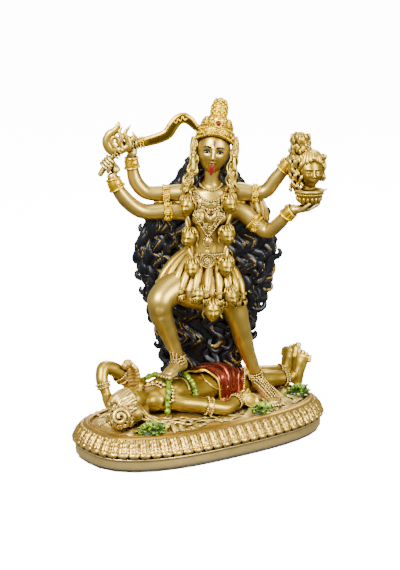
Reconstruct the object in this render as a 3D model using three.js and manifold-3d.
// A painted resin souvenir of Kali, standing on a reclining figure on an oval plinth.
// The casting is one solid. A thin felt pad is glued under its foot.
// X runs along the plinth towards the reclining figure's feet, -Y is the front, Z is up,
// and the origin is the centre of the underside. Sizes are in millimetres.
import * as THREE from "three";
import { mergeVertices } from "three/addons/utils/BufferGeometryUtils.js";
import Module from "manifold-3d";

const wasm = await Module();
wasm.setup();

// Plinth
const plinthLength = 150.4;
const plinthWidth = 79.4;
const ovalSquareness = 2.7; // 2 is an ellipse, more is squarer
const footInset = 1.2; // the smooth foot stands in from the petals' lip
const footHeight = 7.2; // top of the smooth foot above the table
const petalBandTop = 15.5;
const petalBandSlope = 5; // how far the band leans in from lip to top
const petalPitch = 6; // width of one petal along the rim
const petalRelief = 1.2; // depth of the groove between two petals
const petalTopRelief = 0.5; // the groove's depth where the petals meet the border
const petalBulge = 3; // height of the band's widest line over the foot
const borderTop = 18.6; // crest of the smooth border above the table
const borderWidth = 3.8;
const groundHeight = 17; // earth inside the border

// Felt pad
const feltThickness = 1;
const feltInset = 0.6; // felt stands in from the foot's edge
const castingGap = 0.3; // clearance between felt and casting
const feltColumns = 36;

// Figures
const figureHeight = 172; // from the earth to the tip of the crown
const figureYaw = -35; // the standing figure is turned this many degrees on the plinth
const headHeight = 25;
const headTilt = 6.5; // the head leans to her left, in degrees
const crownTilt = 9;
const garlandHeads = 9;
const skirtArms = 10;
const hairLocks = 10;
const earthHeight = 6; // crown of the earth mound under the reclining figure
const moundLength = 46; // how far the mound spreads from its crown along the plinth
const moundWidth = 17; // and across it
const tuftHeight = 6;

// Tufts of leaves, as shares of the plinth's half length and half width
const tuftPlaces = [[-0.625, -0.44], [0.286, -0.695], [0.79, -0.265]];

// The points of both figures below are written for this height and follow figureHeight
const sculptedHeight = 172;
const sculptScale = figureHeight / sculptedHeight;
const radians = THREE.MathUtils.degToRad;

// A closed geometry as a manifold solid, turned inside out where its faces point inwards
function solid(geometry) {
  const bare = geometry.clone();
  bare.deleteAttribute("normal");
  bare.deleteAttribute("uv");
  const merged = mergeVertices(bare);
  const points = merged.attributes.position;
  const corners = [...merged.index.array];
  const [a, b, c] = [new THREE.Vector3(), new THREE.Vector3(), new THREE.Vector3()];
  const kept = [];
  let volume = 0;
  for (let i = 0; i < corners.length; i += 3) {
    const [ia, ib, ic] = corners.slice(i, i + 3);
    if (ia === ib || ib === ic || ic === ia) {
      continue;
    }
    a.fromBufferAttribute(points, ia);
    b.fromBufferAttribute(points, ib);
    c.fromBufferAttribute(points, ic);
    volume += a.dot(b.clone().cross(c));
    kept.push([ia, ib, ic]);
  }
  const outward = volume > 0 ? kept : kept.map(([ia, ib, ic]) => [ia, ic, ib]);
  return new wasm.Manifold(new wasm.Mesh({
    numProp: 3,
    vertProperties: new Float32Array(points.array),
    triVerts: new Uint32Array(outward.flat()),
  }));
}

// One geometry from solids joined together
function joined(geometries) {
  const whole = geometries.map(solid).reduce((sum, next) => sum.add(next));
  const mesh = whole.getMesh();
  const geometry = new THREE.BufferGeometry();
  const position = new THREE.BufferAttribute(new Float32Array(mesh.vertProperties), 3);
  geometry.setAttribute("position", position);
  geometry.setIndex(new THREE.BufferAttribute(new Uint32Array(mesh.triVerts), 1));
  geometry.computeVertexNormals();
  return geometry;
}

// A tapering limb through stations of x, y, height, half-width and half-depth.
// The half-depth is measured towards the limb's front. A band is a share of the path, its
// half-width as a share and its rise; relief(share, turn) lifts the surface by some millimetres.
function limb(stations, {
  sides = 8,
  rings = 2 * stations.length - 1,
  front = [0, -1, 0],
  bluntness = 0.5,
  bands = [],
  relief = () => 0,
} = {}) {
  const path = new THREE.CatmullRomCurve3(
    stations.map(([x, y, z]) => new THREE.Vector3(x, y, z)), false, "centripetal");
  const facing = new THREE.Vector3(...front);
  let rows = Array.from({ length: rings }, (_, i) => ({ share: i / (rings - 1), rise: 0 }));
  for (const [middle, halfWidth, rise] of bands) {
    rows = rows.filter(({ share }) => Math.abs(share - middle) > halfWidth * 1.3);
    rows.push({ share: middle - halfWidth, rise: 0 });
    rows.push({ share: middle, rise });
    rows.push({ share: middle + halfWidth, rise: 0 });
  }
  rows.sort((a, b) => a.share - b.share);
  const sectionAt = (share) => {
    const along = share * (stations.length - 1);
    const first = Math.min(Math.floor(along), stations.length - 2);
    const part = THREE.MathUtils.smoothstep(along - first, 0, 1);
    const mix = (k) => THREE.MathUtils.lerp(stations[first][k], stations[first + 1][k], part);
    const tangent = path.getTangent(share);
    const side = facing.clone().cross(tangent).normalize();
    const out = tangent.clone().cross(side);
    return { centre: path.getPoint(share), tangent, side, out, wide: mix(3), deep: mix(4) };
  };
  const sections = rows.map(({ share }) => sectionAt(share));
  const geometry = new THREE.SphereGeometry(1, sides, rows.length + 1);
  const points = geometry.attributes.position;
  for (let i = 0; i < points.count; i += 1) {
    const row = Math.floor(i / (sides + 1)) - 1;
    const turn = ((i % (sides + 1)) % sides) / sides * 2 * Math.PI;
    const nearest = THREE.MathUtils.clamp(row, 0, rows.length - 1);
    const section = sections[nearest];
    const point = section.centre.clone();
    if (row !== nearest) {
      const beyond = bluntness * Math.min(section.wide, section.deep);
      point.addScaledVector(section.tangent, row < 0 ? -beyond : beyond);
    } else {
      const lift = rows[row].rise + relief(rows[row].share, turn);
      point.addScaledVector(section.side, -Math.cos(turn) * (section.wide + lift));
      point.addScaledVector(section.out, Math.sin(turn) * (section.deep + lift));
    }
    points.setXYZ(i, point.x, point.y, point.z);
  }
  return geometry;
}

// A rounded lump: half-sizes along x, y and z, leaning to +x by some degrees
function lump([x, y, z], [rx, ry, rz], { lean = 0, detail = 1 } = {}) {
  return new THREE.IcosahedronGeometry(1, detail)
    .scale(rx, ry, rz)
    .rotateY(radians(lean))
    .translate(x, y, z);
}

// A turned form from a profile of radius and height, standing on its base point
function turned(profile, [x, y, z], { sides = 12, lean = 0, nod = 0 } = {}) {
  return new THREE.LatheGeometry(profile.map(([r, h]) => new THREE.Vector2(r, h)), sides)
    .rotateX(Math.PI / 2)
    .rotateX(radians(nod))
    .rotateY(radians(lean))
    .translate(x, y, z);
}

// The plinth's outline at equal steps along its length: each a point and the direction outwards
function ovalSteps(count, margin) {
  const fine = 1440;
  const exponent = 2 / ovalSquareness;
  const onOval = (i) => {
    const angle = i / fine * 2 * Math.PI;
    const curved = (share) => Math.sign(share) * Math.abs(share) ** exponent;
    return new THREE.Vector2(
      (plinthLength / 2 - margin) * curved(Math.cos(angle)),
      (plinthWidth / 2 - margin) * curved(Math.sin(angle)),
    );
  };
  const outline = Array.from({ length: fine + 1 }, (_, i) => onOval(i));
  const travelled = [0];
  for (let i = 1; i <= fine; i += 1) {
    travelled.push(travelled[i - 1] + outline[i].distanceTo(outline[i - 1]));
  }
  const around = travelled[fine];
  const steps = [];
  for (let k = 0, i = 0; k < count; k += 1) {
    while (travelled[i + 1] < k / count * around) {
      i += 1;
    }
    const share = (k / count * around - travelled[i]) / (travelled[i + 1] - travelled[i]);
    const run = outline[i + 1].clone().sub(outline[i]);
    const out = new THREE.Vector2(run.y, -run.x).normalize();
    steps.push({ at: outline[i].clone().addScaledVector(run, share), out });
  }
  return { steps, around };
}

// A lathe whose circle is stretched to the plinth's oval. Each row is an inset from the outline,
// a height and how deep the grooves between petals are cut. A row without an inset is the middle.
function ovalForm(rows, columns, margin = 0) {
  const { steps } = ovalSteps(columns, margin);
  const profile = rows.map(([edge, height]) => new THREE.Vector2(edge === null ? 0 : 1, height));
  const geometry = new THREE.LatheGeometry(profile, columns);
  const points = geometry.attributes.position;
  for (let i = 0; i < points.count; i += 1) {
    const [edge, height, groove = 0] = rows[i % rows.length];
    const column = Math.floor(i / rows.length) % columns;
    if (edge === null) {
      points.setXYZ(i, 0, 0, height);
      continue;
    }
    const { at, out } = steps[column];
    const depth = edge + (column % 2) * groove;
    points.setXYZ(i, at.x - out.x * depth, at.y - out.y * depth, height);
  }
  return geometry;
}

// Smooth foot, lotus petal band, rounded border and the earth inside it
function plinth() {
  const { around } = ovalSteps(8, 0);
  const petals = Math.round(around / petalPitch);
  const middle = null;
  const borderInner = petalBandSlope + borderWidth;
  return ovalForm([
    [middle, feltThickness + castingGap],
    [footInset, feltThickness + castingGap],
    [footInset, footHeight],
    [0, footHeight + petalBulge, petalRelief],
    [petalBandSlope, petalBandTop, petalTopRelief],
    [petalBandSlope, borderTop],
    [borderInner, groundHeight],
    [middle, groundHeight],
  ], 2 * petals);
}

function feltPad() {
  const middle = null;
  const rows = [[middle, 0], [0, 0], [0, feltThickness], [middle, feltThickness]];
  return ovalForm(rows, feltColumns, footInset + feltInset);
}

// Standing figure. x runs to her left, y away from the viewer, and z up from the earth.

function torso() {
  return [
    limb([
      [2.6, 2, 66, 10, 8], [2.8, 1.5, 78, 14, 9.5], [2.2, 1, 88, 11.6, 8.2], [2.4, 0.5, 95, 11, 7.6],
      [3.8, 0.2, 106, 12.6, 8.4], [5, 0, 115, 14.2, 8.6], [5.4, 0.5, 121, 12.6, 7], [5.2, 1, 125.5, 6, 5],
    ], { sides: 10, rings: 7 }),
    limb([[5, 0.5, 121, 5.2, 5.2], [5.4, -0.2, 129, 4.3, 4.5], [6, -0.6, 137, 4.6, 5]],
      { sides: 7, rings: 3 }),
  ];
}

// Each arm runs from inside the shoulder to its wrist, with a band on the upper arm and at the wrist
function arm(stations) {
  const last = stations.length - 1;
  const bandRise = 1.1;
  const bandHalfWidth = 0.04;
  return limb(stations, {
    sides: 6, rings: 8, bands: [[2 / last, bandHalfWidth, bandRise], [5 / last, bandHalfWidth, bandRise]],
  });
}

// A closed hand, from the wrist to the knuckles
function fist(stations) {
  return limb(stations, { sides: 6, rings: 4 });
}

function swordArm() {
  return [
    arm([
      [1, 1.5, 117, 5.4, 5.4], [-8, 0.5, 120.6, 5.1, 4.9], [-19.5, 0, 120.8, 4.4, 4.5],
      [-29.5, -1, 121.5, 4.1, 4.2], [-34.8, -1.8, 127, 4, 4.1], [-36.8, -2.6, 135, 3.5, 3.5],
      [-37.2, -3.2, 142, 3.1, 3.1],
    ]),
    fist([[-37.2, -3.6, 142.6, 3.2, 3], [-36.6, -4, 147.6, 4.4, 3.6], [-36.8, -4.4, 150.6, 3, 2.6]]),
    limb([
      [-39.5, -5, 148.4, 2.6, 2.4], [-33.5, -5, 149.4, 3.2, 1.8], [-25, -5, 151.6, 3.1, 1.5],
      [-18.6, -5, 153.2, 3.6, 1.5], [-13.9, -4.8, 159, 4, 1.5], [-9.1, -4.2, 161.4, 4, 1.5],
      [-5.2, -3.4, 160, 3.2, 1.5], [0.5, -2, 156.4, 2.4, 1.5],
    ], { sides: 6, rings: 11 }),
  ];
}

function tridentArm() {
  const spearDepth = -9.5;
  const prong = (points) => limb(
    points.map(([x, z, r]) => [x, spearDepth, z, r, r]), { sides: 5, rings: points.length });
  return [
    arm([
      [2, 1, 109, 5.4, 6], [-8.2, 0, 111, 5.4, 5.8], [-18.9, -2, 111.6, 5, 5.2], [-31.7, -5, 112, 4.6, 4.8],
      [-40, -8, 118.5, 4.2, 4.4], [-45.2, -10, 126.5, 3.7, 3.7], [-47.4, -10, 132.4, 3.1, 3.1],
    ]),
    fist([[-47.6, -10, 132.6, 3.2, 3], [-48.6, -10.2, 137, 4.2, 3.6], [-49, -10.4, 140.4, 3, 2.6]]),
    prong([[-52.6, 133.6, 1.8], [-49.4, 138.6, 1.8], [-42.6, 146, 2.4]]),
    prong([
      [-42.4, 145, 2.2], [-48.4, 145.6, 2.4], [-50.8, 150, 2.5], [-47.6, 155.2, 2.2], [-42.4, 160.2, 0.7],
    ]),
    prong([[-42.4, 145, 2.2], [-38.4, 147.4, 2.4], [-40.2, 152, 2], [-37.2, 158, 0.7]]),
  ];
}

// Her left upper hand holds the severed head by its hair
function headArm() {
  return [
    arm([
      [8, 1.5, 118, 5.4, 5.4], [19.1, 0.5, 121.6, 5.2, 5], [29.5, 0, 121, 4.4, 4.6],
      [34.6, -0.6, 122.2, 4.1, 4.2], [39.6, -2, 128.6, 3.9, 3.9], [44.8, -4, 135.6, 3.5, 3.5],
      [48, -5, 140.6, 3, 3],
    ]),
    fist([[49, -5.6, 141.6, 3.2, 3], [51.6, -6.4, 147.4, 4.8, 4], [52.6, -6.6, 153, 3.4, 3]]),
    limb([[53, -6.6, 149, 3.4, 3.4], [54.4, -8, 142, 3.6, 3.6], [56, -9, 137, 5, 5]], { sides: 6, rings: 3 }),
    lump([56.8, -9.4, 132], [6.4, 7, 8.2]),
    limb([[52.4, -7.4, 140, 3.6, 4], [50.6, -8, 130, 3.6, 4.6], [51, -9.4, 122.6, 2.6, 3]],
      { sides: 6, rings: 4 }),
  ];
}

// Her left lower hand carries the bowl under the severed head
function bowlArm() {
  const bowlRadius = 7.8;
  const bowlHeight = 7;
  return [
    arm([
      [8, 1, 113, 5.6, 5.6], [20.8, 1, 111.4, 5.4, 5.4], [29.4, -1, 104.4, 4.8, 4.8],
      [35.4, -3, 100.6, 4.2, 4.4], [41.5, -7, 105.6, 3.8, 3.8], [46.6, -10, 112, 3.3, 3.3],
      [50, -11.4, 114.6, 3, 3],
    ]),
    limb([[49, -11.4, 114, 3, 3], [54.6, -12, 116.4, 4.6, 2.4], [60.4, -12, 118.2, 2.6, 1.6]],
      { front: [0, 0, 1], sides: 6, rings: 4 }),
    turned([
      [0, 0], [bowlRadius * 0.5, 0.6], [bowlRadius * 0.88, bowlHeight * 0.5], [bowlRadius, bowlHeight],
      [bowlRadius - 1.2, bowlHeight], [0, bowlHeight - 1.8],
    ], [56.6, -12, 116.6], { sides: 12 }),
    // Scarf between the two upper arms
    limb([[27, 1, 121, 5, 1.8], [30, 0.4, 112, 5.6, 2], [29.6, 0.6, 101, 4.4, 1.6]], { sides: 6, rings: 3 }),
  ];
}

// The head is modelled around its own middle and then leans with the neck
function head() {
  const half = headHeight / 2;
  const parts = [
    limb([
      [0, -3.4, 2.4 - half, half * 0.32, half * 0.34], [0, -2, -4.6, half * 0.56, half * 0.6],
      [0, -0.6, 2, half * 0.64, half * 0.76], [0, 1.4, 8.4, half * 0.56, half * 0.7],
      [0, 1.6, half - 1, 2, 2],
    ], { sides: 10, rings: 7 }),
    limb([[0, -half * 0.66, 1.5, 0.9, 0.8], [0, -half * 0.72, -3, 1.3, 1.3]], { sides: 4, rings: 2 }),
  ];
  for (const side of [-1, 1]) {
    // Hair and ear ornament down both sides of the face to the shoulder
    parts.push(limb([
      [side * half * 0.64, 0, 7, 2.2, 3], [side * half * 0.7, -1, -1, 2.2, 3.4],
      [side * half * 0.78, -1.6, -9, 2.8, 3.4], [side * half * 0.92, -3, -18, 3, 2.8],
    ], { sides: 6, rings: 4 }));
  }
  return parts.map((part) => part.rotateY(radians(headTilt)).translate(6.4, -1, 144));
}

// Tiered conical crown with a leaf-shaped plate in front
function crown() {
  const band = 9.4;
  const tiers = [
    [0, -2], [band, -1], [band, 3.4], [band - 1.6, 4.4], [band - 1.2, 6.2],
    [4.4, 10.6], [4.8, 13.4], [3.8, 14.2], [3.9, 17.4], [2.8, 19.8], [0, 21],
  ];
  return [
    turned(tiers, [6.8, -1, 151], { sides: 11, lean: crownTilt }),
    lump([8.2, -8.6, 158.6], [4.6, 1.8, 5.4], { lean: crownTilt, detail: 0 }),
  ];
}

// Garland of small heads over both shoulders, down to the hem and up again
function garland() {
  const path = new THREE.CatmullRomCurve3([
    [-7.6, -5.4, 113], [-6, -7, 96], [-5, -12.6, 79], [-1.6, -16, 64], [7, -16.6, 57.4],
    [15, -15.4, 64.4], [13.6, -12.4, 80], [13, -6.6, 96.6], [15.4, -6, 113],
  ].map((point) => new THREE.Vector3(...point)), false, "centripetal");
  const parts = [];
  for (let k = 0; k < garlandHeads; k += 1) {
    const at = path.getPoint(k / (garlandHeads - 1));
    parts.push(limb([
      [at.x, at.y + 1, at.z - 5, 2, 2.4],
      [at.x, at.y, at.z + 0.6, 4.1, 3.8],
      [at.x, at.y + 1, at.z + 5.6, 2.4, 2.4],
    ], { sides: 6, rings: 3 }));
  }
  return parts;
}

// Necklaces on the chest and the round buckle of the belt
function ornaments() {
  const necklace = (halfWidth, top, drop, reach, thick) => {
    const steps = 6;
    const points = Array.from({ length: steps + 1 }, (_, i) => {
      const turn = i / steps * Math.PI;
      const sag = Math.sin(turn);
      return [5 - Math.cos(turn) * halfWidth, -sag * reach, top - sag * drop, thick, thick];
    });
    return limb(points, { sides: 4, rings: 7, front: [0, 1, 0.2] });
  };
  return [
    necklace(7.6, 122.5, 10, 9, 1.3),
    lump([3.4, -7.4, 95], [2.2, 1.6, 2.8], { detail: 0 }),
    turned([[0, -1.6], [4.4, -1.6], [4, 1], [0, 1.8]], [1.6, -9.8, 86.6], { sides: 9, nod: 90 }),
  ];
}

// Apron of severed arms hung from the belt: a flared form with one flute between two arms
function skirt() {
  const columns = 4 * skirtArms;
  const fluteDepth = 1.3;
  return [limb([
    [2.4, 1.6, 90, 11, 8.4], [0.6, -1, 81, 18, 12], [-0.8, -2.8, 72.6, 23, 14.2], [-1.6, -4, 63, 25.4, 15.4],
  ], {
    sides: columns, rings: 4, bluntness: 0,
    relief: (share, turn) => fluteDepth * Math.sqrt(share) * Math.cos(2 * skirtArms * turn),
  })];
}

// A leg from hip to ankle, and a foot from heel to toes
function legs() {
  return [
    limb([
      [-3, 2, 76, 10, 9], [-13.6, -9, 71.6, 9, 8.6], [-21.4, -16.6, 66, 7.4, 7.2],
      [-20.8, -15.6, 58.4, 6.4, 6.2], [-18.8, -13, 49.6, 5.2, 5.8], [-15.6, -10, 40, 3.8, 4.2],
      [-13, -8, 33, 3.5, 3.8], [-12, -7.4, 27.6, 3.4, 3.6],
    ], { sides: 8, rings: 8, bands: [[5.6 / 7, 0.025, 0.9]] }),
    limb([[-10.2, -5.4, 26.8, 3.4, 3.4], [-13.4, -9.6, 27.4, 3.9, 3.4], [-16.4, -14, 25.8, 4.2, 2.6],
      [-18.8, -18, 24.6, 3.8, 1.7]], { sides: 7, rings: 4, front: [0, 0, 1] }),
    limb([
      [9, 2, 76, 10, 9], [14.4, 3, 65, 8.8, 8.6], [18.6, 4, 55, 6.8, 7], [21, 5.4, 46.6, 6, 6.2],
      [23, 9, 38.4, 5.3, 6], [26.8, 13.4, 26, 4, 4.4], [30.4, 16.6, 16, 3.4, 3.8], [31, 17, 11, 3.4, 3.6],
    ], { sides: 8, rings: 8, bands: [[5.7 / 7, 0.025, 0.9]] }),
    limb([[30.2, 20, 8, 3.4, 3.6], [33.4, 14.4, 9.4, 3.9, 3.6], [37.8, 7, 5.6, 4.4, 2.8], [42, 0, 3, 4, 1.8]],
      { sides: 7, rings: 4, front: [0, 0, 1] }),
  ];
}

// Where the fall of hair lies at a height: middle, half-width, depth behind the body, half-thickness
const hairSections = [
  [0, 3, 19, 24, 8], [24, 0.4, 22, 22, 8], [44, 2.4, 27, 18, 8],
  [64, 1, 33.6, 15.4, 8], [86, 2, 38.6, 13, 8], [103, 2.4, 37, 11, 7.4],
  [118, 3.8, 24, 9, 6.6], [134, 5.4, 15, 7.4, 6], [150, 6.6, 9.6, 6, 5],
];

// The fall is one form whose surface is lifted into locks that sway and curl on their way down
function hair() {
  const stations = hairSections.map(
    ([h, middle, half, depth, thick]) => [middle, depth, h, half - 1.6, thick - 1]);
  const lockRelief = 2.3;
  const curls = 5;
  return [limb(stations, {
    sides: 3 * hairLocks, rings: 11, bluntness: 0.2,
    relief: (share, turn) => {
      const sway = 1.3 * Math.sin(2 * Math.PI * curls * share + 1.7 * Math.cos(turn));
      const fade = 1 - 0.6 * share;
      const curl = Math.sin(2 * Math.PI * curls * share);
      return lockRelief * fade * (Math.cos(hairLocks * turn + sway) + 0.5 * curl);
    },
  })];
}

// Reclining figure. x runs from his head to his feet, y away from the viewer, z up from the earth.

function recliningBody() {
  const up = [0, 0, 1];
  return [
    limb([
      [-40, -3, 12, 5, 5], [-34, -1, 11.6, 9, 6.6], [-24, 1, 12, 14, 9], [-12, 2, 11.4, 12, 8.2],
      [1, 3, 11.6, 10.4, 7.6], [13, 7, 12, 12.4, 9], [24, 8, 10.6, 11, 7.6], [30, 8, 9, 6, 5],
    ], { sides: 9, rings: 8, front: up }),
    lump([-20, -5.4, 15], [7, 6.4, 5.4]),
    // Legs lie side by side with the feet upright
    limb([
      [16, 3, 9, 7, 7], [32, 4.4, 8.2, 6.6, 6.8], [44, 5, 8, 5.2, 5.2],
      [55, 5, 7, 4.8, 4.8], [66, 3.4, 6.4, 3.6, 3.8],
    ], { front: up, sides: 6, rings: 5 }),
    limb([
      [16, 13, 10, 7, 7], [32, 13, 9.6, 6, 6], [46, 12, 9.4, 5, 5],
      [58, 10.6, 9, 4, 4], [66, 9.6, 8.4, 3.6, 3.6],
    ], { front: up, sides: 6, rings: 5 }),
    ...[[69.4, 1.6, 0], [67.2, 9.4, 1.8]].map(([x, y, lift]) => limb([
      [x, y, 3.4 + lift, 3, 3.4], [x + 0.4, y, 8 + lift, 3.7, 4], [x + 1.6, y - 0.4, 15 + lift, 4.1, 2.8],
      [x + 3.6, y - 0.8, 23 + lift, 4.5, 1.8],
    ], { front: [1, 0, 0], sides: 7, rings: 4 })),
  ];
}

function recliningArms() {
  const up = [0, 0, 1];
  return [
    limb([
      [-27, -6, 12, 5.4, 5.4], [-23, -10.6, 10.6, 4.8, 4.8], [-12, -15.4, 8.4, 4.4, 4.4],
      [-3, -18.8, 6, 4.2, 4.4], [3, -20, 5, 4, 4], [9.4, -18.8, 7, 3.7, 3.6],
      [14.4, -17, 8.6, 2.9, 2.9], [18, -17, 8.6, 3.2, 2.8],
    ], { front: up, sides: 7, rings: 9 }),
    limb([
      [-30, 8, 12, 5.4, 5.4], [-40, 9.6, 20, 4.8, 4.8], [-50, 10, 28.4, 4.2, 4.2],
      [-56.6, 9.6, 30.4, 3.8, 3.8], [-59.4, 7.4, 25.6, 3.2, 3.4], [-58.8, 4.6, 18, 2.8, 2.8],
      [-56.6, 2, 11.6, 3, 2.8],
    ], { front: [0, 1, 0], sides: 7, rings: 8 }),
    // Hourglass drum under the near hand
    turned([[0, -5.2], [4.1, -5.2], [2, 0], [4.1, 5.2], [0, 5.2]], [19.4, -18.4, 6.6],
      { sides: 10, nod: 62, lean: -24 }),
  ];
}

function recliningHead() {
  return [
    limb([[-42, -3.4, 12.2, 5, 5], [-34, -2, 12, 5.4, 5]], { front: [0, 0, 1], sides: 6, rings: 2 }),
    lump([-47.6, -4.2, 13.8], [9, 7.4, 7.8]),
    // Curled hair round the back of the head, and a knot on the crown
    limb([[-58, -5, 8, 5, 5], [-54, -4.6, 9.6, 9, 7.4], [-48, -4.4, 9.6, 10, 8], [-43, -4, 8, 7, 6]], {
      sides: 8, rings: 4, front: [0, 0, 1], relief: (share, turn) => 0.8 * Math.cos(4 * turn + 9 * share),
    }),
    lump([-60, -6.4, 8.4], [4.8, 4.6, 4.6], { detail: 0 }),
  ];
}

// Cobra rearing from the neck and the snake worn round the chest
function snakes() {
  const snakeRadius = 1.6;
  return [
    limb([
      [-36, 6, 12, 2, 2], [-41, 6.4, 15, 2, 2], [-42.6, 6, 20, 3.4, 1.9],
      [-43, 6, 26, 4.6, 1.9], [-43.8, 5.6, 30.6, 3.4, 2], [-46.4, 5, 31.6, 1.6, 1.4],
    ], { front: [-0.8, -0.6, 0], sides: 6, rings: 7 }),
    limb([
      [-39, -7.6, 9.6, snakeRadius, snakeRadius], [-36.6, -6, 16, snakeRadius, snakeRadius],
      [-31.6, -2, 19.6, snakeRadius, snakeRadius], [-24.6, -3.4, 20.6, snakeRadius, snakeRadius],
      [-20.6, -9, 17.8, snakeRadius, snakeRadius], [-20.2, -13.2, 12.6, snakeRadius, snakeRadius],
    ], { sides: 4, rings: 6, front: [0.3, 0.3, 1] }),
  ];
}

function loincloth() {
  return [
    limb([
      [-1, 6, 12, 9, 8.4], [6, 6.4, 12.4, 11.6, 9.2], [14, 7.4, 12.4, 13.4, 9.8],
      [23, 8, 10.8, 12.2, 8.6], [31, 8, 8.6, 9.6, 6.4],
    ], { sides: 10, rings: 5, front: [0, 0, 1], bluntness: 0.15 }),
    // Loose corner falling over the near hip
    limb([[6, -2, 15, 3, 1.6], [7, -6, 10, 4, 1.8], [9, -9, 5, 3.4, 1.8]],
      { front: [0, -1, 0.4], sides: 5, rings: 3 }),
  ];
}

// Height of the earth's mounds above its edge: it rises under the reclining figure
function moundAt(x, y) {
  const under = Math.exp(-((x / moundLength) ** 2) - ((y - 2) / moundWidth) ** 2);
  const ripple = Math.sin(x / 5.3) * Math.cos(y / 4.1 + x / 9);
  return earthHeight * under + 0.5 * ripple;
}

// Uneven earth and tufts of leaves
function groundCover() {
  const borderLap = 1.6;
  const margin = petalBandSlope + borderWidth - borderLap;
  const floor = -3;
  const columns = 24;
  const earth = ovalForm([
    [null, floor], [0, floor], [0.4, -0.2], [10, 0], [20, 0], [null, 0],
  ], columns, margin);
  const points = earth.attributes.position;
  for (let i = 0; i < points.count; i += 1) {
    if (points.getZ(i) === 0) {
      points.setZ(i, moundAt(points.getX(i), points.getY(i)));
    }
  }
  const parts = [earth];
  for (const [along, across] of tuftPlaces) {
    const middle = [along * plinthLength / 2, across * plinthWidth / 2, tuftHeight * 0.27];
    parts.push(lump(middle, [8.6, 5.2, tuftHeight * 0.73], { detail: 0 }));
  }
  return parts;
}

function casting() {
  const onEarth = new THREE.Matrix4().makeTranslation(0, 0, groundHeight)
    .multiply(new THREE.Matrix4().makeScale(sculptScale, sculptScale, sculptScale));
  const standing = onEarth.clone().multiply(new THREE.Matrix4().makeRotationZ(radians(figureYaw)));
  const upright = [
    torso(), swordArm(), tridentArm(), headArm(), bowlArm(), head(), crown(),
    garland(), ornaments(), skirt(), legs(), hair(),
  ].flat();
  const lying = [
    recliningBody(), recliningArms(), recliningHead(), snakes(), loincloth(), groundCover(),
  ].flat();
  return joined([
    plinth(),
    ...upright.map((form) => form.applyMatrix4(standing)),
    ...lying.map((form) => form.applyMatrix4(onEarth)),
  ]);
}

const goldPaint = new THREE.MeshStandardMaterial({ color: 0xc8af73, roughness: 0.38, metalness: 0.85 });
const felt = new THREE.MeshStandardMaterial({ color: 0x2b2420, roughness: 1, metalness: 0 });

const kaliFigure = new THREE.Group();
const group = new THREE.Mesh(casting(), goldPaint);
group.name = "kali_group";
const pad = new THREE.Mesh(feltPad(), felt);
pad.name = "felt_pad";
kaliFigure.add(group, pad);

export default kaliFigure;
